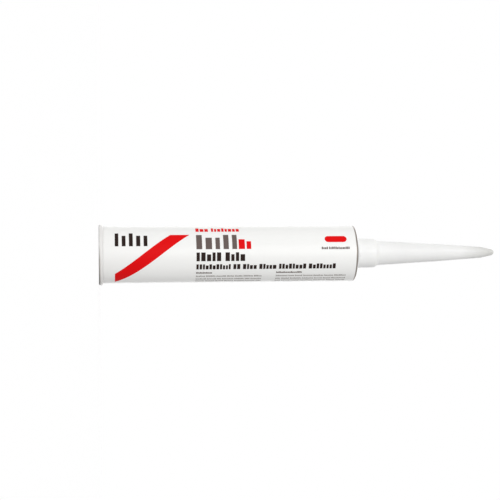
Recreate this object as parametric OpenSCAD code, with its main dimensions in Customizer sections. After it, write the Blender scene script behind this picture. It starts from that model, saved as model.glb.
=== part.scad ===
/* [Barrel] */
// Outer diameter of the barrel
barrel_d = 47.2; // [40:0.1:60]
// Sheet thickness of the barrel and of its rolled rim
barrel_wall = 0.4; // [0.25:0.05:0.6]
// Height of the shoulder edge above the standing plane
barrel_h = 215; // [170:1:320]
// Outer radius of the rounded shoulder edge
edge_r = 2.2; // [1.4:0.1:4]
// Slope of the shoulder cone in degrees
shoulder_angle = 9.5; // [4:0.5:20]
// Sheet thickness of the shoulder cone
shoulder_wall = 0.8; // [0.5:0.1:1.2]

/* [Rolled rim] */
// How far the rolled rim stands out from the barrel
rim_overhang = 1.6; // [1.4:0.1:4]
// Height of the rolled rim
rim_h = 3.6; // [2.4:0.1:6]
// Outer radius of the rim's curl
rim_curl_r = 1.4; // [1.2:0.05:1.6]
// Radius of the mouth's inner edge
mouth_edge_r = 0.2; // [0.1:0.05:0.3]
// How far the barrel's mouth flares where its sheet starts to curl
mouth_flare = 0.1; // [0.05:0.05:0.3]
// Slit between the curled sheet's end and the flared mouth
rim_slit = 0.2; // [0.05:0.05:0.3]

/* [Neck] */
// Outer diameter of the neck
neck_d = 17.8; // [14:0.1:22]
// Wall thickness of the neck
neck_wall = 1.1; // [0.8:0.1:2]
// Height of the neck end above the shoulder edge
neck_h = 15; // [9:0.5:24]
// Thickness of the membrane that closes the neck
membrane_t = 0.3; // [0.1:0.05:0.6]
// Depth of the membrane below the neck end
membrane_depth = 0.8; // [0.3:0.1:3]

/* [Nozzle collar] */
// Radial room for the screw thread between neck and collar
thread_room = 1.1; // [0.6:0.1:2]
// Wall thickness of the collar at its open end
collar_wall = 2.45; // [1.6:0.05:4]
// How much the collar's radius shrinks up to its chamfer
collar_draft = 0.35; // [0.1:0.05:1]
// Height of the collar above its seat on the neck
collar_head = 2.1; // [1:0.1:6]
// Height of the chamfer between collar and cone
chamfer_h = 3.1; // [1:0.1:6]
// Radial width of that chamfer
chamfer_w = 1.75; // [0.5:0.05:2.5]
// Height of the plain land that centres the collar on the neck
land_h = 2.5; // [1:0.1:4]
// Radial clearance between the land and the neck
land_gap = 0.05; // [0.02:0.01:0.1]
// Gap between the nozzle's seat and the neck end
seat_gap = 0.05; // [0.01:0.01:0.2]
// Gap between the collar and the shoulder cone
collar_gap = 0.3; // [0.1:0.1:1]

/* [Nozzle cone] */
// Diameter of the cone where its taper steepens
cone_mid_d = 14.4; // [12:0.1:17.5]
// Height of that place above the foot of the cone
cone_mid_h = 54.7; // [30:0.1:75]
// Diameter of the cone where the closed tip starts
cone_end_d = 9.3; // [7.5:0.1:11.5]
// Height of the cone and its tip
cone_h = 102.3; // [80:0.1:140]
// Radius of the round end
tip_r = 2.6; // [2.1:0.1:3.5]
// Slope of the tip's sides from the axis in degrees
tip_angle = 13; // [10:0.5:18]
// Wall thickness of the cone
nozzle_wall = 1.5; // [0.8:0.1:1.8]

/* [Plunger] */
// Distance from the standing plane to the plunger's open end
plunger_recess = 13; // [6:0.5:40]
// Length of the plunger's skirt
plunger_h = 20; // [14:0.5:40]
// Radial clearance of the plunger's lips in the barrel
plunger_gap = 0.08; // [0.02:0.01:0.1]
// Radius of the plunger's front edge
plunger_edge_r = 2.4; // [1.6:0.1:4]
// Thickness of the plunger's skirt
skirt_wall = 1.6; // [1.2:0.1:3]
// Thickness of the plunger's front wall
plunger_web = 1.6; // [1:0.1:3]
// Height of each sealing lip
lip_h = 2.4; // [1:0.1:4]
// Depth of the waists between the lips
waist_depth = 0.7; // [0.3:0.1:1]
// Number of lips
lip_count = 3; // [2:1:4]
// Outer diameter of the plunger's hub
hub_d = 11; // [7:0.5:20]
// Wall thickness of the hub
hub_wall = 1.3; // [0.8:0.1:2.5]
// Number of ribs between hub and skirt
rib_count = 8; // [4:1:12]
// Thickness of each rib
rib_t = 1.2; // [0.8:0.1:2.5]
// Depth of the ribs' feet inside the open end
rib_inset = 6; // [2:0.5:10]

/* [Sealant] */
// Clearance of the sealant from the pieces around it
sealant_gap = 0.2; // [0.1:0.05:0.4]

/* [Ink] */
// Thickness of the ink
ink_t = 0.05; // [0.03:0.01:0.1]
// Clearance between the ink and the barrel
ink_gap = 0.05; // [0.01:0.01:0.1]

/* [Stripe] */
// Height of the stripe's straight lower cut
stripe_start = 13; // [8:0.5:20]
// Distance from the middle line to that cut, around the barrel
stripe_low = 17; // [12:0.5:20]
// Distance from the middle line to the stripe's far cut, around the barrel the other way
stripe_far = 17.7; // [12:0.1:22]
// Width of the stripe, around the barrel
stripe_w = 11.8; // [6:0.1:14]
// Rise around the barrel for each millimetre along it
stripe_slope = 0.76; // [0.6:0.01:1.2]

/* [Large print] */
// Gap along the barrel between the stripe and the print columns
print_gap = 5.3; // [2:0.1:12]
// Gap along the barrel between the print and the shoulder edge
print_margin = 8; // [4:0.5:16]
// Gap around the barrel between two lines of print
line_gap = 2.7; // [1:0.1:4]
// Gap between two words as a share of their height
word_gap = 0.5; // [0.3:0.05:1]
// Distance from the middle line to the first line's far side, around the barrel
accent_far = 26.7; // [24:0.1:28]
// Height of the first line's letters
accent_h = 5.3; // [2:0.1:6]
// Length of the first line
accent_w = 36; // [20:0.5:50]
// Letters in each word of the first line
accent_words = [4, 9];
// Distance from the middle line to the title's far side, around the barrel
title_far = 17.4; // [15:0.1:19]
// Height of the title's letters
title_h = 13.2; // [8:0.1:16]
// Length of the title
title_w = 33.5; // [20:0.5:40]
// Gap between the title and the red word that follows it
suffix_gap = 1.4; // [0.5:0.1:3]
// Length of the red word
suffix_w = 10.3; // [4:0.1:16]
// Height of the red word's letters
suffix_h = 8.6; // [4:0.1:10]
// Height of the heading's letters
heading_h = 7.2; // [4:0.1:9]
// Length of the heading
heading_w = 40; // [20:0.5:60]
// Letters in each word of the heading
heading_words = [5, 4];
// Height of the subtitle's letters
subtitle_h = 4.6; // [3:0.1:6]
// How far the subtitle ends before the print's margin
subtitle_inset = 11.5; // [4:0.5:20]
// Letters in each word of the subtitle
subtitle_words = [10, 2, 4, 5, 8, 8];
// How much further around the barrel the name starts than the title
name_rise = 2.3; // [0:0.1:4]
// Height of the name's letters beside the stripe
name_h = 12.6; // [8:0.1:15]
// Gap along the barrel between the name and the stripe
name_gap = 5.2; // [2:0.1:8]

/* [Badge and small print] */
// Distance from the middle line to the badge's centre, around the barrel
badge_far = 12.6; // [10:0.1:16]
// Length of the badge
badge_w = 18.5; // [10:0.1:26]
// Height of the badge, around the barrel
badge_h = 5.8; // [4:0.1:8]
// How far the badge and the second column end before the print's margin
badge_inset = 2; // [0:0.5:6]
// Gap between the badge and the line under it
tagline_gap = 4.1; // [1:0.1:6]
// Length of the line under the badge
tagline_w = 23.5; // [15:0.5:28]
// Height of that line's letters
tagline_h = 2; // [1.2:0.1:3]
// Letters in each word of that line
tagline_words = [3, 10];
// Length of the first column of small print
column_w = 54.5; // [45:0.5:60]
// Gap between the two columns
column_gap = 12; // [4:0.5:16]
// Length of the first column's short first line
lead_w = 13; // [6:0.5:30]
// Length of the second column's short first line
second_lead_w = 21.5; // [6:0.5:30]
// Number of full lines in a column
small_lines = 3; // [2:1:5]
// Number of words in a full line
small_words = 7; // [4:1:10]
// Letters in the shortest word of the small print
shortest_word = 3; // [2:1:5]
// Letters in the longest word
longest_word = 10; // [6:1:14]
// Pitch of the small print's lines, around the barrel
small_pitch = 4; // [2.6:0.1:4.4]
// Height of the small print's letters
small_h = 1.7; // [1:0.1:2.2]

/* [Hidden] */
$fn = 96;

// How far a cutting shape runs past the face it cuts
cut = 1;
// Smallest radius that a round corner keeps
least_r = 0.05;
// Seeds of the word lengths in the two columns of small print
column_seeds = [19, 29];

barrel_r = barrel_d / 2;
bore_r = barrel_r - barrel_wall;
neck_r = neck_d / 2;
neck_bore_r = neck_r - neck_wall;
neck_top = barrel_h + neck_h;
membrane_z = neck_top - membrane_depth - membrane_t;

// Height at which the shoulder's slope would meet the axis above a wall of this radius and edge
function apex_over(r, edge, h) = h - edge + edge / cos(shoulder_angle) + (r - edge) * tan(shoulder_angle);
function slope_z(apex, r) = apex - r * tan(shoulder_angle);
// Height step between two parallel slopes this far apart
function slope_step(distance) = distance / cos(shoulder_angle);

shoulder_apex = apex_over(barrel_r, edge_r, barrel_h);
inner_apex = shoulder_apex - slope_step(shoulder_wall);
inner_edge_r = max(edge_r - shoulder_wall, least_r);

thread_bore_r = neck_r + thread_room;
collar_foot_r = thread_bore_r + collar_wall;
collar_top_r = collar_foot_r - collar_draft;
cone_foot_r = collar_top_r - chamfer_w;
seat_z = neck_top + seat_gap;
collar_z = slope_z(shoulder_apex, thread_bore_r) + collar_gap;
chamfer_z = seat_z + collar_head;
cone_z = chamfer_z + chamfer_h;
tip_z = cone_z + cone_h - tip_r;

plunger_r = bore_r - plunger_gap;
plunger_front = plunger_recess + plunger_h;
plunger_apex = apex_over(plunger_r, plunger_edge_r, plunger_front);

// Half section of a round wall, its rounded edge and the cone above it, from the height base
module can_section(r, edge, apex, base) {
    centre = [r - edge, slope_z(apex, r - edge) - slope_step(edge)];
    touch = centre + edge * [sin(shoulder_angle), cos(shoulder_angle)];
    translate([0, base]) square([r, centre[1] - base]);
    translate(centre) circle(edge);
    polygon([[0, centre[1]], centre, touch, [0, apex]]);
}

// Half section of a disc whose edge is round, from foot to top
module bead_section(r, foot, top, curl) {
    translate([0, foot]) square([r - curl, top - foot]);
    translate([0, foot + curl]) square([r, top - foot - 2 * curl]);
    for (z = [foot + curl, top - curl])
        translate([r - curl, z]) circle(curl);
}

// Radius at this height in the rim of a wall that flares out to the standing plane
function flared(r, z) = r + mouth_flare * (1 - z / rim_h);

// The room inside the curl, open at the top where its end stops short of the flared mouth
module curl_room_section() {
    difference() {
        union() {
            bead_section(barrel_r + rim_overhang - barrel_wall, barrel_wall, rim_h - barrel_wall,
                rim_curl_r - barrel_wall);
            translate([0, rim_h / 2]) square([barrel_r + mouth_flare + rim_slit, rim_h]);
        }
        polygon([[0, 0], [flared(barrel_r, 0), 0], [barrel_r, rim_h], [barrel_r, 2 * rim_h], [0, 2 * rim_h]]);
    }
}

// What the mouth leaves free: its flare and its round inner edge
module mouth_section() {
    r = flared(bore_r, mouth_edge_r);
    polygon([[0, -cut], [flared(bore_r, -cut), -cut], [bore_r, rim_h], [0, rim_h]]);
    difference() {
        translate([0, -cut]) square([r + mouth_edge_r, cut + mouth_edge_r]);
        translate([r + mouth_edge_r, mouth_edge_r]) circle(mouth_edge_r);
    }
}

module barrel_section() {
    difference() {
        union() {
            can_section(barrel_r, edge_r, shoulder_apex, rim_h / 2);
            square([neck_r, neck_top]);
            bead_section(barrel_r + rim_overhang, 0, rim_h, rim_curl_r);
        }
        curl_room_section();
        can_section(bore_r, inner_edge_r, inner_apex, -cut);
        mouth_section();
        translate([0, -cut]) square([neck_bore_r, membrane_z + cut]);
        translate([0, membrane_z + membrane_t]) square([neck_bore_r, membrane_depth + cut]);
    }
}

module barrel() {
    color("white") rotate_extrude() barrel_section();
}

// Half section of the cone and its closed round tip, for a surface this far inside the outer one
module cone_section(inset) {
    slope = tan(tip_angle);
    end_z = tip_z + (tip_r / cos(tip_angle) - cone_end_d / 2) / slope;
    r = tip_r - inset;
    touch = [r * cos(tip_angle), tip_z + r * sin(tip_angle)];
    polygon([
        [0, cone_z],
        [cone_foot_r - inset, cone_z],
        [cone_mid_d / 2 - inset, cone_z + cone_mid_h],
        [touch[0] + (touch[1] - end_z) * slope, end_z],
        touch,
        [0, touch[1]]
    ]);
    intersection() {
        translate([0, tip_z]) circle(r);
        translate([0, touch[1]]) square(r);
    }
}

module collar_section() {
    polygon([
        [0, collar_z],
        [collar_foot_r, collar_z],
        [collar_top_r, chamfer_z],
        [cone_foot_r, cone_z],
        [0, cone_z]
    ]);
}

module nozzle_section() {
    difference() {
        union() {
            collar_section();
            cone_section(0);
        }
        translate([0, collar_z - cut]) square([thread_bore_r, seat_z - land_h - collar_z + cut]);
        translate([0, collar_z]) square([neck_r + land_gap, seat_z - collar_z]);
        translate([0, collar_z]) square([neck_bore_r, cone_z - collar_z + cut]);
        intersection() {
            cone_section(nozzle_wall);
            square([neck_bore_r, tip_z + tip_r]);
        }
    }
}

module nozzle() {
    color("ghostwhite") rotate_extrude() nozzle_section();
}

module plunger_section() {
    pitch = (plunger_h - plunger_edge_r - lip_h) / (lip_count - 1);
    difference() {
        can_section(plunger_r, plunger_edge_r, plunger_apex, plunger_recess);
        can_section(plunger_r - skirt_wall, plunger_edge_r, plunger_apex - slope_step(plunger_web),
            plunger_recess - cut);
        for (i = [0 : lip_count - 2])
            translate([plunger_r - waist_depth, plunger_recess + lip_h + i * pitch])
                square([waist_depth + cut, pitch - lip_h]);
    }
}

// Hub and ribs end halfway into the skirt and the front wall
module plunger_ribs() {
    intersection() {
        translate([0, 0, plunger_recess + rib_inset]) {
            cylinder(d = hub_d, h = plunger_h);
            for (i = [0 : rib_count - 1])
                rotate((i + 0.5) * 360 / rib_count)
                    translate([0, -rib_t / 2, 0]) cube([plunger_r, rib_t, plunger_h]);
        }
        rotate_extrude()
            can_section(plunger_r - skirt_wall / 2, plunger_edge_r,
                plunger_apex - slope_step(plunger_web / 2), plunger_recess);
    }
}

module plunger() {
    hub_floor = slope_z(plunger_apex, hub_d / 2) - plunger_web;
    color("whitesmoke") difference() {
        union() {
            rotate_extrude() plunger_section();
            plunger_ribs();
        }
        cylinder(d = hub_d - 2 * hub_wall, h = hub_floor);
    }
}

// The paste fills the barrel between plunger and membrane
module sealant_section() {
    r = bore_r - sealant_gap;
    rear_apex = plunger_apex + slope_step(sealant_gap);
    difference() {
        union() {
            can_section(r, inner_edge_r, inner_apex - slope_step(sealant_gap), 0);
            square([neck_bore_r - sealant_gap, membrane_z - sealant_gap]);
        }
        polygon([
            [-cut, -cut],
            [r + cut, -cut],
            [r + cut, slope_z(rear_apex, r + cut)],
            [0, rear_apex],
            [-cut, rear_apex]
        ]);
    }
}

module sealant() {
    color("dimgray") rotate_extrude() sealant_section();
}

ink_r = barrel_r + ink_gap;
stripe_end = stripe_start + (stripe_low + stripe_w + stripe_far) / stripe_slope;
print_start = stripe_end + print_gap;
print_end = barrel_h - print_margin;
suffix_start = print_start + title_w + suffix_gap;

// Angle on the barrel for a distance around it from the middle line
function around(u) = u / barrel_r * 180 / PI;

// Sum of a list's first n values
function sum(list, n) = n == 0 ? 0 : list[n - 1] + sum(list, n - 1);

// Ink on the barrel between two distances around it and two heights
module ink_patch(far, near, start, end) {
    rotate(around(far) - 90)
        rotate_extrude(angle = around(near - far))
            translate([ink_r, start]) square([ink_t, end - start]);
}

// A line of plain bars in place of words with these numbers of letters
module word_line(far, height, start, end, words) {
    space = word_gap * height;
    letter = (end - start - (len(words) - 1) * space) / sum(words, len(words));
    for (i = [0 : len(words) - 1]) {
        from = start + sum(words, i) * letter + i * space;
        ink_patch(far, far + height, from, from + words[i] * letter);
    }
}

// Outline of the straight slanted stripe on the unrolled barrel, as seen from in front
module stripe_outline() {
    steps = 24;
    near_side = stripe_low + stripe_w;
    seen = function (u, side) [barrel_r * sin(around(u)), stripe_start + (side - u) / stripe_slope];
    going = [for (i = [0 : steps]) seen(stripe_low - (stripe_low + stripe_far) * i / steps, stripe_low)];
    coming = [for (i = [0 : steps]) seen((near_side + stripe_far) * i / steps - stripe_far, near_side)];
    polygon(concat(going, coming));
}

module stripe() {
    intersection() {
        difference() {
            cylinder(r = ink_r + ink_t, h = barrel_h);
            translate([0, 0, -cut]) cylinder(r = ink_r, h = barrel_h + 2 * cut);
        }
        rotate([90, 0, 0]) linear_extrude(barrel_r + cut) stripe_outline();
    }
}

// A plain bar with round ends, wrapped on the barrel
module badge(middle, height, start, end) {
    r = height / 2;
    intersection() {
        ink_patch(middle - height, middle + height, start - cut, end + cut);
        rotate([90, 0, around(middle)])
            linear_extrude(barrel_r + cut) {
                translate([-r, start + r]) square([height, end - start - height]);
                translate([0, start + r]) circle(r);
                translate([0, end - r]) circle(r);
            }
    }
}

module red_print() {
    color("red") {
        stripe();
        word_line(-accent_far, accent_h, print_start, print_start + accent_w, accent_words);
        ink_patch(title_h - title_far - suffix_h, title_h - title_far, suffix_start, suffix_start + suffix_w);
        badge(-badge_far, badge_h, print_end - badge_inset - badge_w, print_end - badge_inset);
    }
}

heading_far = title_h + line_gap - title_far;
subtitle_far = heading_far + heading_h + line_gap;
small_far = subtitle_far + subtitle_h + line_gap;

module dark_print() {
    name_far = -title_far - name_rise;
    name_end = stripe_start + (stripe_low - name_far - name_h) / stripe_slope - name_gap;
    color("black") {
        ink_patch(name_far, name_far + name_h, stripe_start, name_end);
        ink_patch(-title_far, title_h - title_far, print_start, print_start + title_w);
        word_line(heading_far, heading_h, print_start, print_start + heading_w, heading_words);
        word_line(subtitle_far, subtitle_h, print_start, print_end - subtitle_inset, subtitle_words);
    }
}

// A column of small print: a short first line, then full ones
module small_print(start, end, lead, seed) {
    ink_patch(small_far, small_far + small_h, start, start + lead);
    for (i = [1 : small_lines])
        word_line(small_far + i * small_pitch, small_h, start, end,
            rands(shortest_word, longest_word, small_words, seed + i));
}

module grey_print() {
    color("gray") {
        small_print(print_start, print_start + column_w, lead_w, column_seeds[0]);
        small_print(print_start + column_w + column_gap, print_end - badge_inset, second_lead_w,
            column_seeds[1]);
        word_line(badge_h / 2 + tagline_gap - badge_far, tagline_h, print_end - tagline_w, print_end,
            tagline_words);
    }
}

barrel();
nozzle();
plunger();
sealant();
red_print();
dark_print();
grey_print();
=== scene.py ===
"""Caulk tube, standing on its rolled rim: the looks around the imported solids."""

import math
import random
from collections import namedtuple

import bpy
from mathutils import Matrix, Vector


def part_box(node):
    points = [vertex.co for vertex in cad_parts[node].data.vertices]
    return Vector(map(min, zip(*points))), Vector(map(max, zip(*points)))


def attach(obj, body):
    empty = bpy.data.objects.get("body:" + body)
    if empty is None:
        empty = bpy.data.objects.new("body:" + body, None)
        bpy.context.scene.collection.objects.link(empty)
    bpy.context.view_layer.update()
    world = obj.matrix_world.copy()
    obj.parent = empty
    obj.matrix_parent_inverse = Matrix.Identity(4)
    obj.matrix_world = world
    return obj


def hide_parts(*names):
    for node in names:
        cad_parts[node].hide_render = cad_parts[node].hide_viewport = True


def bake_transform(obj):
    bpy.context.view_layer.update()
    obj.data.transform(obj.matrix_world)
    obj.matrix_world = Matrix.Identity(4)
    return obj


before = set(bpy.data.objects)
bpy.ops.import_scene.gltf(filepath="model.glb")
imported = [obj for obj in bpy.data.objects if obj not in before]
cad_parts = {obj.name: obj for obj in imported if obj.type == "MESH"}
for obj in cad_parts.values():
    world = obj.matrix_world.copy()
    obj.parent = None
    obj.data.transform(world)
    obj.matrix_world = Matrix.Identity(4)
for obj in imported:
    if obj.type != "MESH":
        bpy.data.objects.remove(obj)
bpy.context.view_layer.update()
scene = bpy.context.scene

MM = 0.001

# Sizes that are read off the photograph

PHOTO_PX = 500  # width of the photograph
FOCAL_PX = 1250  # focal length, in pixels of the photograph
CAMERA_AT = (-0.0033, -1.0446, 0.0018)
YAW = math.radians(6.8)  # how far the view turns towards the nozzle
ROLL = math.radians(0.38)
STRIPE_FOOT = 11.8 * MM  # width of the stripe's square lower end
STRIPE_SLOPE = 0.76  # how far the stripe's upper edge moves round the barrel for each step along it

# Sizes of the can, measured from its rear rim and from its axis

BARREL_R = 23.6 * MM
SKIN_R = 23.415 * MM  # halfway through the sheet: lacquer outside, bare metal inside
FOOT_SHADE_TO = 1.2 * MM  # up to here the foot shows dark bare metal instead of lacquer, on the side away from the key lamp: painted shade
FOOT_TO = 1.4 * MM  # bare metal is dull up to here, and coloured grey as the foot's painted shade
RIM_SHADE_TO = 3.8 * MM  # the lacquer is painted greyer up to here, just above the rolled rim, as shade on the bead and its crease
LACQUER_TO = 212.8 * MM  # the lacquer ends where the front edge starts to turn in
EDGE_SHADE_FROM = 212.3 * MM  # the front edge's bend is painted as a dark band of bare metal, its shade where it turns in, from here
EDGE_SHADE_TO = 214.3 * MM  # to here
EDGE_SHADE_R = 22.1 * MM  # and outside this radius
INK_IN = BARREL_R + 0.045 * MM  # the ink lies just off the lacquer, so that they don't share a surface
INK_OUT = INK_IN + 0.04 * MM

# Sizes of the nozzle

TIP_SHADE_FROM = 306 * MM  # from here to the tip the nozzle is painted greyer, partly for its thickening wall and partly as shade
TIP_SHADE_TO = 335 * MM
SEAM_HALF = 0.1 * MM  # half the width of the mould's parting line
SEAM_SOFT = 0.06 * MM

# Node trees and colours


def in_use(sockets, key=0):
    """A node's socket with this label or number, among those that its settings leave in use."""
    live = [socket for socket in sockets if socket.enabled]
    return live[key] if isinstance(key, int) else next(socket for socket in live if socket.name == key)


def add(tree, kind, inputs=(), **settings):
    """Adds a node with its settings, and feeds its inputs from values, outputs or other nodes.

    A node that is given as a value stands for its first output.
    """
    node = tree.nodes.new(kind)
    for name, value in settings.items():
        setattr(node, name, value)
    for key, value in dict(inputs).items():
        if isinstance(value, bpy.types.Node):
            value = in_use(value.outputs)
        if isinstance(value, bpy.types.NodeSocket):
            tree.links.new(value, in_use(node.inputs, key))
        else:
            in_use(node.inputs, key).default_value = value
    return node


def empty_tree(owner):
    """The node tree of a new material or world, with nothing in it."""
    owner.use_nodes = True
    owner.node_tree.nodes.clear()
    return owner.node_tree


def srgb(code):
    """Linear colour of an sRGB hex value."""
    parts = [int(code[i : i + 2], 16) / 255 for i in (1, 3, 5)]
    return [p / 12.92 if p <= 0.04045 else ((p + 0.055) / 1.055) ** 2.4 for p in parts] + [1.0]


def new_object(name, points, faces, material=None):
    """A new object in the scene, with its place in its mesh."""
    mesh = bpy.data.meshes.new(name)
    mesh.from_pydata(points, [], faces)
    mesh.update()
    if material:
        mesh.materials.append(material)
    made = bpy.data.objects.new(name, mesh)
    scene.collection.objects.link(made)
    return made


# Camera, light and floor

SENSOR_W = 36  # width of the camera's sensor in millimetres
ROOM_LEVEL = 0.43  # light that falls on the object from all sides
FLOOR_HALF = 4  # metres from the middle of the floor to its edge
FLOOR_GLOW = 0.366  # lifts the lit floor to white where it is seen, and leaves it a soft shadow


def make_camera():
    """The photograph's view: the tube lies along the picture, with its nozzle on the right."""
    data = bpy.data.cameras.new("camera")
    data.sensor_width = SENSOR_W
    data.lens = SENSOR_W * FOCAL_PX / PHOTO_PX
    data.clip_start = 0.01
    data.clip_end = 20
    camera = bpy.data.objects.new("camera", data)
    scene.collection.objects.link(camera)
    forward = Vector((0, math.cos(YAW), math.sin(YAW)))
    level = Vector((0, -math.sin(YAW), math.cos(YAW)))
    upright = Vector((-1, 0, 0))
    right = level * math.cos(ROLL) - upright * math.sin(ROLL)
    up = upright * math.cos(ROLL) + level * math.sin(ROLL)
    turn = Matrix((right, up, -forward)).transposed().to_4x4()
    camera.matrix_world = Matrix.Translation(CAMERA_AT) @ turn
    scene.camera = camera


def seen_directly(tree):
    """1 for rays from the camera, a mirror or a clear body, which then meet plain white."""
    path = add(tree, "ShaderNodeLightPath").outputs
    eye_or_mirror = {0: path["Is Camera Ray"], 1: path["Is Glossy Ray"]}
    direct = add(tree, "ShaderNodeMath", eye_or_mirror, operation="MAXIMUM")
    return add(tree, "ShaderNodeMath", {0: direct, 1: path["Is Transmission Ray"]}, operation="MAXIMUM")


def make_room():
    """A white room: plain light on the object from all sides, and full white where it is seen."""
    scene.world = bpy.data.worlds.new("white_room")
    tree = empty_tree(scene.world)
    levels = {"Value": seen_directly(tree), "To Min": ROOM_LEVEL, "To Max": 1.0}
    strength = add(tree, "ShaderNodeMapRange", levels)
    back = add(tree, "ShaderNodeBackground", {"Color": srgb("#FFFFFF"), "Strength": strength})
    add(tree, "ShaderNodeOutputWorld", {"Surface": back})


def make_lamp(name, towards, strength, softness):
    """A wide soft lamp, far away in this direction from the object."""
    data = bpy.data.lights.new(name, "SUN")
    data.energy = strength * math.pi
    data.angle = math.radians(softness)
    lamp = bpy.data.objects.new(name, data)
    lamp.rotation_mode = "QUATERNION"
    lamp.rotation_quaternion = Vector(towards).to_track_quat("Z", "Y")
    scene.collection.objects.link(lamp)


def white_card():
    """Matt white card: it throws plain light back at the object, and looks white where it is lit."""
    material = bpy.data.materials.new("white_card")
    tree = empty_tree(material)
    card = add(tree, "ShaderNodeBsdfDiffuse", {"Color": srgb("#EEEEEE")})
    glow = add(tree, "ShaderNodeEmission", {"Color": srgb("#FFFFFF"), "Strength": FLOOR_GLOW})
    lifted = add(tree, "ShaderNodeAddShader", {0: card, 1: glow})
    surface = add(tree, "ShaderNodeMixShader", {0: seen_directly(tree), 1: card, 2: lifted})
    add(tree, "ShaderNodeOutputMaterial", {"Surface": surface})
    return material


def make_floor():
    """The plain floor that the object stands on."""
    corners = [(x * FLOOR_HALF, y * FLOOR_HALF, 0) for x, y in ((-1, -1), (1, -1), (1, 1), (-1, 1))]
    floor = new_object("floor", corners, [(0, 1, 2, 3)], white_card())


make_camera()
scene.view_settings.view_transform = "Standard"
make_room()
make_lamp("key", towards=(-0.22, -0.95, 0.22), strength=0.54, softness=40)
make_lamp("top_fill", towards=(-0.97, -0.05, 0.2), strength=0.1, softness=60)
make_lamp("back_fill", towards=(-0.1, 0.95, 0.4), strength=0.4, softness=80)
make_floor()

# Materials

# Widths of the patterns' patches. The turning lines, the mould's grain and the ink's mottle are
# drawn coarser than real ones, so that they show.
SMUDGE = 9 * MM
TURNING_LINE = 0.25 * MM
ACROSS_LINES = 0.02  # scale of the lines' pattern across the can's axis, so that they run round it
ORANGE_PEEL = 1.6 * MM
MILKY_CLOUD = 14 * MM
MOULD_GRAIN = 0.5 * MM
INK_MOTTLE = 0.7 * MM
PASTE_FOLD = 5 * MM


def overlap(tree, *masks):
    """Product of these masks, which is 1 only where all of them are."""
    shared = masks[0]
    for mask in masks[1:]:
        shared = add(tree, "ShaderNodeMath", {0: shared, 1: mask}, operation="MULTIPLY")
    return shared


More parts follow.
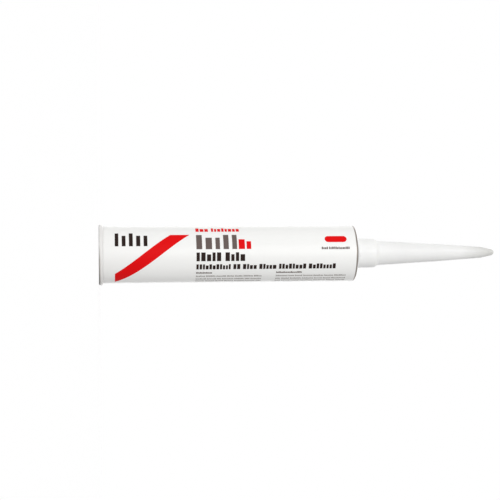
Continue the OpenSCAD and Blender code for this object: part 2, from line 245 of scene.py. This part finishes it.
def lacquered_can():
    """White stove lacquer on a can of impact-extruded aluminium.

    The eye gets an even satin white with a faint orange peel, painted greyer over the rolled rim as
    shade. It stops at the front edge, in a band of bare metal painted dark as the edge's shade. Inside
    and on the shoulder the metal is bare: dull silver with fine lines round it. On the side away from
    the key lamp the foot is painted as dark bare metal for its shade, darker further round.
    """
    material = bpy.data.materials.new("white_lacquer_on_aluminium")
    tree = empty_tree(material)
    point = add(tree, "ShaderNodeTexCoord").outputs["Object"]
    apart = add(tree, "ShaderNodeSeparateXYZ", {"Vector": point}).outputs
    flat = add(tree, "ShaderNodeVectorMath", {0: point, 1: (1, 1, 0)}, operation="MULTIPLY")
    radius = add(tree, "ShaderNodeVectorMath", {0: flat}, operation="LENGTH")
    # each mask has a value, a place and half the width of its soft edge: it is 1 beyond its place,
    # or before it where the width is negative
    edges = {
        "outer skin": (radius, SKIN_R, 0.035 * MM),
        # painted shade on the foot: how high it reaches, the side it is on, and where it darkens
        # further round
        "foot shade height": (apart["Z"], FOOT_SHADE_TO, -0.2 * MM),
        "foot shade side": (apart["X"], -2 * MM, 6 * MM),
        "foot shade darker": (apart["X"], 17 * MM, 7 * MM),
        "foot": (apart["Z"], FOOT_TO, -0.2 * MM),
        "rim": (apart["Z"], RIM_SHADE_TO, -0.2 * MM),
        "behind front edge": (apart["Z"], LACQUER_TO, -0.12 * MM),
        "edge shade start": (apart["Z"], EDGE_SHADE_FROM, 0.1 * MM),
        "edge shade end": (apart["Z"], EDGE_SHADE_TO, -0.15 * MM),
        "edge shade outside": (radius, EDGE_SHADE_R, 0.1 * MM),
    }
    mask = {}
    for name, (value, place, soft) in edges.items():
        limits = {"Value": value, "From Min": place - soft, "From Max": place + soft}
        mask[name] = add(tree, "ShaderNodeMapRange", limits)

    # painted shade: on the side away from the key lamp the foot shows dark bare metal instead of
    # lacquer
    foot_shade = overlap(tree, mask["foot shade height"], mask["foot shade side"])
    beside_foot_shade = add(tree, "ShaderNodeMath", {0: 1.0, 1: foot_shade}, operation="SUBTRACT")
    lacquer = overlap(tree, mask["outer skin"], beside_foot_shade, mask["behind front edge"])
    bare = add(tree, "ShaderNodeMath", {0: 1.0, 1: lacquer}, operation="SUBTRACT")

    # painted shade: the lacquer over the rolled rim and its crease is greyer
    whites_with_rim_shade = {"Factor": mask["rim"], "A": srgb("#F4F4F2"), "B": srgb("#EBEAE8")}
    white = add(tree, "ShaderNodeMix", whites_with_rim_shade, data_type="RGBA")
    smudge = add(tree, "ShaderNodeTexNoise", {"Vector": point, "Scale": 1 / SMUDGE, "Detail": 3})
    faint = add(tree, "ShaderNodeMath", {0: smudge, 1: 0.35}, operation="MULTIPLY")
    # painted shade: the bend's band of bare metal is dark, for the shade where the front edge turns in
    # towards the nozzle's collar
    bend = overlap(tree, mask["edge shade start"], mask["edge shade end"], mask["edge shade outside"])
    # the foot's painted shade is darker further round the side away from the key lamp
    foot_shades = {"Factor": mask["foot shade darker"], "A": srgb("#B5B1AE"), "B": srgb("#7E7A77")}
    foot_shade_metal = add(tree, "ShaderNodeMix", foot_shades, data_type="RGBA")
    colour = srgb("#DEDFE0")
    for share, over in (
        (faint, srgb("#BDBCBB")),
        # bare metal at the front edge's bend, painted dark as shade
        (bend, srgb("#847D78")),
        (mask["foot"], foot_shade_metal),
        (lacquer, white),
    ):
        colour = add(tree, "ShaderNodeMix", {"Factor": share, "A": colour, "B": over}, data_type="RGBA")

    shine = add(tree, "ShaderNodeMapRange", {"Value": mask["foot"], "To Min": 1.0, "To Max": 0.35})
    gloss = add(tree, "ShaderNodeMapRange", {"Value": smudge, "To Min": 0.26, "To Max": 0.36})
    brushed = add(tree, "ShaderNodeMapRange", {"Value": smudge, "To Min": 0.3, "To Max": 0.46})
    peel = add(tree, "ShaderNodeTexNoise", {"Vector": point, "Scale": 1 / ORANGE_PEEL, "Detail": 1})
    stretched = {"Vector": point, "Scale": (ACROSS_LINES, ACROSS_LINES, 1)}
    round_the_can = add(tree, "ShaderNodeMapping", stretched)
    turning = {"Vector": round_the_can, "Scale": 1 / TURNING_LINE, "Detail": 1}
    lines = add(tree, "ShaderNodeTexNoise", turning)
    relief = add(tree, "ShaderNodeMix", {"Factor": lacquer, "A": lines, "B": peel})
    look = {
        "Base Color": colour,
        "Metallic": overlap(tree, shine, bare),
        "Roughness": add(tree, "ShaderNodeMix", {"Factor": lacquer, "A": brushed, "B": gloss}),
        "Specular IOR Level": 0.2,
        "Normal": add(tree, "ShaderNodeBump", {"Height": relief, "Distance": 0.006 * MM}),
    }
    add(tree, "ShaderNodeOutputMaterial", {"Surface": add(tree, "ShaderNodeBsdfPrincipled", look)})
    return material


def moulded_polyethylene(name, colour, tip_shade_colour=None):
    """Natural polyethylene, injection moulded: milky and satin, with light going a little way in.

    With a tip colour it is the nozzle's, which is greyer towards its closed tip, partly for the
    thicker wall there and partly as painted shade, and has the parting line of its mould up the front
    and the back.
    """
    material = bpy.data.materials.new(name)
    tree = empty_tree(material)
    point = add(tree, "ShaderNodeTexCoord").outputs["Object"]
    cloud = add(tree, "ShaderNodeTexNoise", {"Vector": point, "Scale": 1 / MILKY_CLOUD})
    grain = add(tree, "ShaderNodeTexNoise", {"Vector": point, "Scale": 1 / MOULD_GRAIN})
    relief = add(tree, "ShaderNodeBump", {"Height": grain, "Distance": 0.008 * MM})
    base = srgb(colour)
    if tip_shade_colour:
        apart = add(tree, "ShaderNodeSeparateXYZ", {"Vector": point}).outputs
        # the nozzle is painted greyer towards its closed tip: partly the thicker wall's duller look,
        # partly painted shade
        tip_shade_span = {"Value": apart["Z"], "From Min": TIP_SHADE_FROM, "From Max": TIP_SHADE_TO}
        tip = add(tree, "ShaderNodeMapRange", tip_shade_span)
        with_tip_shade = {"Factor": tip, "A": base, "B": srgb(tip_shade_colour)}
        base = add(tree, "ShaderNodeMix", with_tip_shade, data_type="RGBA")
        sideways = add(tree, "ShaderNodeMath", {0: apart["X"]}, operation="ABSOLUTE")
        narrow = {"From Min": SEAM_HALF + SEAM_SOFT, "From Max": SEAM_HALF - SEAM_SOFT}
        seam = add(tree, "ShaderNodeMapRange", {"Value": sideways, **narrow})
        relief = add(tree, "ShaderNodeBump", {"Height": seam, "Distance": 0.05 * MM, "Normal": relief})
    faint = add(tree, "ShaderNodeMath", {0: cloud, 1: 0.15}, operation="MULTIPLY")
    clouded = {"Factor": faint, "A": base, "B": srgb("#E6E5E0")}
    look = {
        "Base Color": add(tree, "ShaderNodeMix", clouded, data_type="RGBA"),
        "Roughness": add(tree, "ShaderNodeMapRange", {"Value": cloud, "To Min": 0.48, "To Max": 0.58}),
        "IOR": 1.51,
        "Subsurface Weight": 0.3,
        "Subsurface Radius": (6 * MM, 6 * MM, 5.5 * MM),
        "Subsurface Scale": 1.0,
        "Normal": relief,
    }
    add(tree, "ShaderNodeOutputMaterial", {"Surface": add(tree, "ShaderNodeBsdfPrincipled", look)})
    return material


def offset_ink(name, colour, mottle_colour):
    """Thin matt ink, offset printed on the lacquer: an even colour with a faint mottle."""
    material = bpy.data.materials.new(name)
    tree = empty_tree(material)
    point = add(tree, "ShaderNodeTexCoord").outputs["Object"]
    mottle = add(tree, "ShaderNodeTexNoise", {"Vector": point, "Scale": 1 / INK_MOTTLE})
    faint = add(tree, "ShaderNodeMath", {0: mottle, 1: 0.25}, operation="MULTIPLY")
    mottled = {"Factor": faint, "A": srgb(colour), "B": srgb(mottle_colour)}
    look = {
        "Base Color": add(tree, "ShaderNodeMix", mottled, data_type="RGBA"),
        "Roughness": add(tree, "ShaderNodeMapRange", {"Value": mottle, "To Min": 0.45, "To Max": 0.6}),
        "Specular IOR Level": 0.06,
        "Normal": add(tree, "ShaderNodeBump", {"Height": mottle, "Distance": 0.004 * MM}),
    }
    add(tree, "ShaderNodeOutputMaterial", {"Surface": add(tree, "ShaderNodeBsdfPrincipled", look)})
    return material


def sealant_paste():
    """Black polyurethane paste, pressed into the can: soft folds with a wet sheen."""
    material = bpy.data.materials.new("black_polyurethane_paste")
    tree = empty_tree(material)
    point = add(tree, "ShaderNodeTexCoord").outputs["Object"]
    folds = add(tree, "ShaderNodeTexNoise", {"Vector": point, "Scale": 1 / PASTE_FOLD, "Detail": 3})
    blacks = {"Factor": folds, "A": srgb("#141312"), "B": srgb("#2A2826")}
    look = {
        "Base Color": add(tree, "ShaderNodeMix", blacks, data_type="RGBA"),
        "Roughness": add(tree, "ShaderNodeMapRange", {"Value": folds, "To Min": 0.25, "To Max": 0.5}),
        "Coat Weight": 0.4,
        "Coat Roughness": 0.2,
        "Normal": add(tree, "ShaderNodeBump", {"Height": folds, "Distance": 0.4 * MM}),
    }
    add(tree, "ShaderNodeOutputMaterial", {"Surface": add(tree, "ShaderNodeBsdfPrincipled", look)})
    return material


can_finish = lacquered_can()
# the nozzle's tip colour is partly painted shade at its closed tip
nozzle_plastic = moulded_polyethylene("natural_polyethylene", "#F6F6F4", tip_shade_colour="#CFCFCB")
plunger_plastic = moulded_polyethylene("natural_polyethylene_piston", "#EFEEEA")
red_ink = offset_ink("red_offset_ink", "#E20C10", "#DA1617")
dark_ink = offset_ink("brown_black_offset_ink", "#2A1F1C", "#3A2E2A")
title_ink = offset_ink("brown_grey_offset_ink", "#665A56", "#7A6E6A")
grey_ink = offset_ink("grey_offset_ink", "#A5A19E", "#B1ADAA")
paste_finish = sealant_paste()

# Barrel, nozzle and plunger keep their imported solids

for node, finish in (("barrel", can_finish), ("nozzle", nozzle_plastic), ("plunger", plunger_plastic)):
    solid_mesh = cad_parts[node].data
    solid_mesh.materials.clear()
    solid_mesh.materials.append(finish)

# Print

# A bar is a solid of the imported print, unrolled from the barrel: it reaches from u0 to u1 round the
# barrel and from z0 to z1 along it. A block stands for one letter, by its middle and its size.
Bar = namedtuple("Bar", "u0 u1 z0 z1")
Block = namedtuple("Block", "u z size_u size_z")

LARGE_FROM = 12 * MM  # letters higher than this are large
LARGE_PITCH, LARGE_GAP = 0.465, 0.22  # mean step from letter to letter, and gap, in heights of the line
SMALL_PITCH, SMALL_GAP = 0.58, 0.16
WIDTH_RANGE = (0.75, 1.2)  # the narrowest and the widest letter, against a middling one
HIGH_CHANCE = 0.35  # share of letters that are as high as their line
LOW_CUT = 0.22  # what the others lack, in heights of their line
BOLD_TO = 17 * MM  # grey bars that start before this place round the barrel are in the title's ink
BLOCK_STEPS = 7  # corners round the barrel in each block, so that it can bend
INK_SEED = {"red_words": 3, "dark_words": 5, "grey_words": 7}  # keeps the letters the same in each run


def on_barrel(u, z, radius):
    """The point at this distance round the barrel from the print's middle line, height and radius."""
    angle = u / BARREL_R
    return (radius * math.sin(angle), -radius * math.cos(angle), z)


def print_bars(node):
    """The bar of each separate solid of a print node.

    They come in order round the barrel, to a tenth of a millimetre, and then along it.
    """
    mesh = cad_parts[node].data
    number = {}
    parent = []

    def root(i):
        while parent[i] != i:
            parent[i] = parent[parent[i]]
            i = parent[i]
        return i

    # the mesh is loose triangles, so corners at one place, to a micrometre, are taken as one
    corner = []
    for vertex in mesh.vertices:
        place = tuple(round(c, 6) for c in vertex.co)
        if place not in number:
            number[place] = len(parent)
            parent.append(len(parent))
        corner.append(number[place])
    for face in mesh.polygons:
        first = root(corner[face.vertices[0]])
        for i in face.vertices[1:]:
            parent[root(corner[i])] = first

    solids = {}
    for vertex, i in zip(mesh.vertices, corner):
        u = math.atan2(vertex.co.x, -vertex.co.y) * BARREL_R
        solids.setdefault(root(i), []).append((u, vertex.co.z))
    bars = []
    for places in solids.values():
        around, along = zip(*places)
        bars.append(Bar(min(around), max(around), min(along), max(along)))
    return sorted(bars, key=lambda bar: (round(bar.u0, 4), bar.z0))


def sheet_on_barrel(name, ends, along, across, material):
    """A thin closed skin of ink, in this many rows along and cells across.

    ends(s) gives the two ends (u, z) of a row, where s goes from 0 at the first row to 1 at the last.
    """
    points = []
    for radius in (INK_IN, INK_OUT):
        for i in range(along + 1):
            (u0, z0), (u1, z1) = ends(i / along)
            for j in range(across + 1):
                t = j / across
                points.append(on_barrel(u0 + (u1 - u0) * t, z0 + (z1 - z0) * t, radius))
    row = across + 1
    outer = (along + 1) * row
    faces = []
    for i in range(along):
        for j in range(across):
            q = i * row + j
            faces.append((q, q + row, q + row + 1, q + 1))
            faces.append((outer + q, outer + q + 1, outer + q + row + 1, outer + q + row))
    rim = list(range(row))
    rim += [i * row + across for i in range(1, along + 1)]
    rim += [along * row + j for j in range(across - 1, -1, -1)]
    rim += [i * row for i in range(along - 1, 0, -1)]
    for here, there in zip(rim, rim[1:] + rim[:1]):
        faces.append((here, there, outer + there, outer + here))
    return new_object(name, points, faces, material)


def stripe(bar):
    """The slanted stripe, cut square at its lower end and along the barrel at its far end."""
    foot = bar.u1 - STRIPE_FOOT
    corner = bar.z0 + (foot - bar.u0) / STRIPE_SLOPE

    def ends(s):
        upper = (foot + (bar.u0 - foot) * s, bar.z0 + (corner - bar.z0) * s)
        lower = (bar.u1 + (bar.u0 - bar.u1) * s, bar.z0 + (bar.z1 - bar.z0) * s)
        return upper, lower

    return sheet_on_barrel("stripe", ends, along=56, across=12, material=red_ink)


def badge(bar):
    """A plain field with round ends."""
    radius = (bar.u1 - bar.u0) / 2
    middle = (bar.u0 + bar.u1) / 2
    least = 0.001 * MM  # the end rows keep a length, so that no face collapses

    def ends(s):
        z = (bar.z0 + bar.z1) / 2 - (bar.z1 - bar.z0) / 2 * math.cos(math.pi * s)
        into_end = max(0.0, bar.z0 + radius - z, z - (bar.z1 - radius))
        half = math.sqrt(max(radius * radius - into_end * into_end, least * least))
        return (middle - half, z), (middle + half, z)

    return sheet_on_barrel("badge", ends, along=40, across=10, material=red_ink)


def geometry_tree(name, inputs):
    """A new geometry tree with these named inputs and one output, and what its inputs give."""
    tree = bpy.data.node_groups.new(name, "GeometryNodeTree")
    for label, kind in inputs.items():
        tree.interface.new_socket(label, in_out="INPUT", socket_type="NodeSocket" + kind)
    tree.interface.new_socket("Geometry", in_out="OUTPUT", socket_type="NodeSocketGeometry")
    return tree, add(tree, "NodeGroupInput").outputs


def ink_block_tree():
    """Blocks of ink: one at each point, as long and as high as the point says, bent on the barrel."""
    inputs = {
        "Geometry": "Geometry",
        "Barrel radius": "Float",
        "Ink inner radius": "Float",
        "Ink thickness": "Float",
        "Ink": "Material",
        "Second ink": "Material",
    }
    tree, given = geometry_tree("ink_blocks", inputs)
    unit = {"Size": (1, 1, 1), "Vertices X": BLOCK_STEPS, "Vertices Y": 2, "Vertices Z": 2}
    block = add(tree, "GeometryNodeMeshCube", unit)
    size = add(tree, "GeometryNodeInputNamedAttribute", {"Name": "size"}, data_type="FLOAT_VECTOR")
    one_each = {"Points": given["Geometry"], "Instance": block, "Scale": size}
    copies = add(tree, "GeometryNodeInstanceOnPoints", one_each)
    solid = add(tree, "GeometryNodeRealizeInstances", {"Geometry": copies})
    # x is the way round the barrel, y is the depth of the ink from 0 to 1, and z is the way along
    position = add(tree, "GeometryNodeInputPosition")
    point = add(tree, "ShaderNodeSeparateXYZ", {"Vector": position}).outputs
    angle = add(tree, "ShaderNodeMath", {0: point["X"], 1: given["Barrel radius"]}, operation="DIVIDE")
    depth = {0: point["Y"], 1: given["Ink thickness"], 2: given["Ink inner radius"]}
    radius = add(tree, "ShaderNodeMath", depth, operation="MULTIPLY_ADD")
    sine = add(tree, "ShaderNodeMath", {0: angle}, operation="SINE")
    cosine = add(tree, "ShaderNodeMath", {0: angle}, operation="COSINE")
    x = add(tree, "ShaderNodeMath", {0: radius, 1: sine}, operation="MULTIPLY")
    back = add(tree, "ShaderNodeMath", {0: radius, 1: cosine}, operation="MULTIPLY")
    y = add(tree, "ShaderNodeMath", {0: back, 1: -1.0}, operation="MULTIPLY")
    bent = add(tree, "ShaderNodeCombineXYZ", {"X": x, "Y": y, "Z": point["Z"]})
    moved = add(tree, "GeometryNodeSetPosition", {"Geometry": solid, "Position": bent})
    # bending mirrors the blocks, so their faces are turned to point outwards again
    turned_out = add(tree, "GeometryNodeFlipFaces", {"Mesh": moved})
    inked = add(tree, "GeometryNodeSetMaterial", {"Geometry": turned_out, "Material": given["Ink"]})
    second = add(tree, "GeometryNodeInputNamedAttribute", {"Name": "second"}, data_type="BOOLEAN")
    inks = {"Geometry": inked, "Selection": second, "Material": given["Second ink"]}
    add(tree, "NodeGroupOutput", {0: add(tree, "GeometryNodeSetMaterial", inks)})
    return tree


def grown(base, tree, values):
    """Runs a tree on a base object and leaves its result as the object's plain mesh."""
    modifier = base.modifiers.new("tree", "NODES")
    modifier.node_group = tree
    for item in tree.interface.items_tree:
        if item.in_out == "INPUT" and item.name in values:
            modifier[item.identifier] = values[item.name]
    bpy.context.view_layer.update()
    done = base.evaluated_get(bpy.context.evaluated_depsgraph_get())
    mesh = bpy.data.meshes.new_from_object(done)
    base.modifiers.remove(modifier)
    if mesh.materials[0] is None:  # the empty slot that a cube node brings
        mesh.materials.pop(index=0)
    base.data = mesh
    return base


def letter_blocks(bar, chance):
    """Splits a line's bar into plain blocks, one for each letter, of mixed widths and heights."""
    height = bar.u1 - bar.u0
    length = bar.z1 - bar.z0
    pitch, gap = (LARGE_PITCH, LARGE_GAP) if height > LARGE_FROM else (SMALL_PITCH, SMALL_GAP)
    count = max(1, round(length / (height * pitch)))
    widths = [chance.uniform(*WIDTH_RANGE) for _ in range(count)]
    unit = (length - gap * height * (count - 1)) / sum(widths)
    z = bar.z0
    blocks = []
    for i, width in enumerate(widths):
        high = i == 0 or chance.random() < HIGH_CHANCE
        top = bar.u0 if high else bar.u0 + LOW_CUT * height
        blocks.append(Block((top + bar.u1) / 2, z + width * unit / 2, bar.u1 - top, width * unit))
        z += width * unit + gap * height
    return blocks


def print_piece(name, bars, ink, second_bars=()):
    """All the blocks of one node's print, as one mesh. The second bars are in the title's ink."""
    chance = random.Random(INK_SEED[name])
    blocks = []
    in_second = []
    for bar in bars:
        letters = letter_blocks(bar, chance)
        blocks += letters
        in_second += [bar in second_bars] * len(letters)
    cloud = new_object(name, [(block.u, 0.5, block.z) for block in blocks], [])
    size = cloud.data.attributes.new("size", "FLOAT_VECTOR", "POINT")
    size.data.foreach_set("vector", [c for block in blocks for c in (block.size_u, 1.0, block.size_z)])
    second = cloud.data.attributes.new("second", "BOOLEAN", "POINT")
    second.data.foreach_set("value", in_second)
    values = {
        "Barrel radius": BARREL_R,
        "Ink inner radius": INK_IN,
        "Ink thickness": INK_OUT - INK_IN,
        "Ink": ink,
        "Second ink": title_ink,
    }
    return grown(cloud, ink_blocks, values)


ink_blocks = ink_block_tree()
red_bars = print_bars("red_print")
stripe_bar = max(red_bars, key=lambda bar: bar.u1 - bar.u0)
badge_bar = max(red_bars, key=lambda bar: bar.z0)
red_lines = [bar for bar in red_bars if bar not in (stripe_bar, badge_bar)]
red_pieces = [stripe(stripe_bar), badge(badge_bar), print_piece("red_words", red_lines, red_ink)]
dark_bars = print_bars("dark_print")
title_bar = max(dark_bars, key=lambda bar: bar.u1 - bar.u0)
dark_words = print_piece("dark_words", dark_bars, dark_ink, [title_bar])
grey_bars = print_bars("grey_print")
bold_bars = [bar for bar in grey_bars if bar.u0 < BOLD_TO]
grey_words = print_piece("grey_words", grey_bars, grey_ink, bold_bars)
for piece in red_pieces:
    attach(piece, "barrel")
    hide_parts("red_print")
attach(dark_words, "barrel")
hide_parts("dark_print")
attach(grey_words, "barrel")
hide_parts("grey_print")

# Screw thread

THREAD_PITCH = 3 * MM
THREAD_TURNS = 2.2
NECK_R = 8.9 * MM  # outside of the can's neck
NECK_RIDGE_R = 0.5 * MM
NECK_RIDGE_FROM = 219.4 * MM
COLLAR_R = 10 * MM  # inside of the nozzle's collar
COLLAR_RIDGE_R = 0.45 * MM
COLLAR_RIDGE_FROM = 219.9 * MM


def screw_ridge_tree():
    """A round ridge that climbs a wall as a helix."""
    inputs = dict.fromkeys(("Wall radius", "Ridge radius", "Pitch", "Turns", "Start height"), "Float")
    inputs["Finish"] = "Material"
    tree, given = geometry_tree("screw_ridge", inputs)
    rise = add(tree, "ShaderNodeMath", {0: given["Pitch"], 1: given["Turns"]}, operation="MULTIPLY")
    climb = {
        "Resolution": 64,
        "Rotations": given["Turns"],
        "Start Radius": given["Wall radius"],
        "End Radius": given["Wall radius"],
        "Height": rise,
    }
    helix = add(tree, "GeometryNodeCurveSpiral", climb)
    round_section = {"Resolution": 12, "Radius": given["Ridge radius"]}
    section = add(tree, "GeometryNodeCurvePrimitiveCircle", round_section)
    swept = {"Curve": helix, "Profile Curve": section, "Fill Caps": True}
    ridge = add(tree, "GeometryNodeCurveToMesh", swept)
    up = add(tree, "ShaderNodeCombineXYZ", {"Z": given["Start height"]})
    raised = add(tree, "GeometryNodeTransform", {"Geometry": ridge, "Translation": up})
    solid = add(tree, "GeometryNodeRealizeInstances", {"Geometry": raised})
    done = add(tree, "GeometryNodeSetMaterial", {"Geometry": solid, "Material": given["Finish"]})
    add(tree, "NodeGroupOutput", {0: done})
    return tree


def screw_ridge(name, wall, ridge, start, finish):
    """One thread's ridge, on a wall of this radius, from this height up."""
    values = {
        "Wall radius": wall,
        "Ridge radius": ridge,
        "Pitch": THREAD_PITCH,
        "Turns": THREAD_TURNS,
        "Start height": start,
        "Finish": finish,
    }
    return grown(new_object(name, [(0, 0, 0)], []), screw_ridges, values)


screw_ridges = screw_ridge_tree()
neck_ridge = screw_ridge("neck_thread", NECK_R, NECK_RIDGE_R, NECK_RIDGE_FROM, can_finish)
nozzle_ridge = screw_ridge("nozzle_thread", COLLAR_R, COLLAR_RIDGE_R, COLLAR_RIDGE_FROM, nozzle_plastic)
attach(neck_ridge, "barrel")
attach(nozzle_ridge, "nozzle")

# Paste

PASTE_SIDES = 64
SHOULDER_TILT = 9.5  # degrees that the can's shoulder and the plunger's front wall slope
SLOPE = math.tan(math.radians(SHOULDER_TILT))
REAR_R = 22 * MM  # less than the bore, so that the paste clears the can's round edge when pressed flat
EDGE_R = 1.4 * MM  # rounding of the paste's front edge
EDGE_STEPS = 5
REAR_STEPS = 6
PLUG_R = 7.6 * MM  # radius of the paste in the neck
PLUG_CHAMFER = 0.6 * MM
FRONT_APEX = 217.6 * MM  # height at which the paste's front slope would meet the axis


def turned(name, profile, sides, material):
    """A closed solid turned from a profile of (radius, height) that starts and ends on the axis."""
    points = [(0, 0, profile[0][1])]
    for radius, z in profile[1:-1]:
        for i in range(sides):
            angle = 2 * math.pi * i / sides
            points.append((radius * math.cos(angle), radius * math.sin(angle), z))
    points.append((0, 0, profile[-1][1]))
    last = len(points) - 1
    faces = []
    for i in range(sides):
        k = (i + 1) % sides
        faces.append((0, 1 + k, 1 + i))
        faces.append((last, last - sides + i, last - sides + k))
    for ring in range(len(profile) - 3):
        low = 1 + ring * sides
        high = low + sides
        for i in range(sides):
            k = (i + 1) % sides
            faces.append((low + i, low + k, high + k, high + i))
    body = new_object(name, points, faces, material)
    body.data.shade_smooth()
    return body


def paste_profile():
    """The paste's section: hollowed by the plunger's cone, round at the shoulder, and up the neck."""
    low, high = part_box("sealant")
    rear_apex = low.z + SLOPE * high.x
    profile = [(0, rear_apex)]
    for i in range(1, REAR_STEPS + 1):
        radius = REAR_R * i / REAR_STEPS
        profile.append((radius, rear_apex - SLOPE * radius))
    edge_r = high.x - EDGE_R
    edge_z = FRONT_APEX - SLOPE * edge_r - EDGE_R / math.cos(math.radians(SHOULDER_TILT))
    for i in range(EDGE_STEPS + 1):
        angle = math.radians(90 - (90 - SHOULDER_TILT) * i / EDGE_STEPS)
        profile.append((edge_r + EDGE_R * math.sin(angle), edge_z + EDGE_R * math.cos(angle)))
    profile.append((PLUG_R, FRONT_APEX - SLOPE * PLUG_R))
    profile.append((PLUG_R, high.z - PLUG_CHAMFER))
    profile.append((PLUG_R - PLUG_CHAMFER, high.z))
    profile.append((0, high.z))
    return profile


paste_piece = turned("paste", paste_profile(), PASTE_SIDES, paste_finish)
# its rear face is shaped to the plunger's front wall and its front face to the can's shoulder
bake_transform(paste_piece)
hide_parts("sealant")
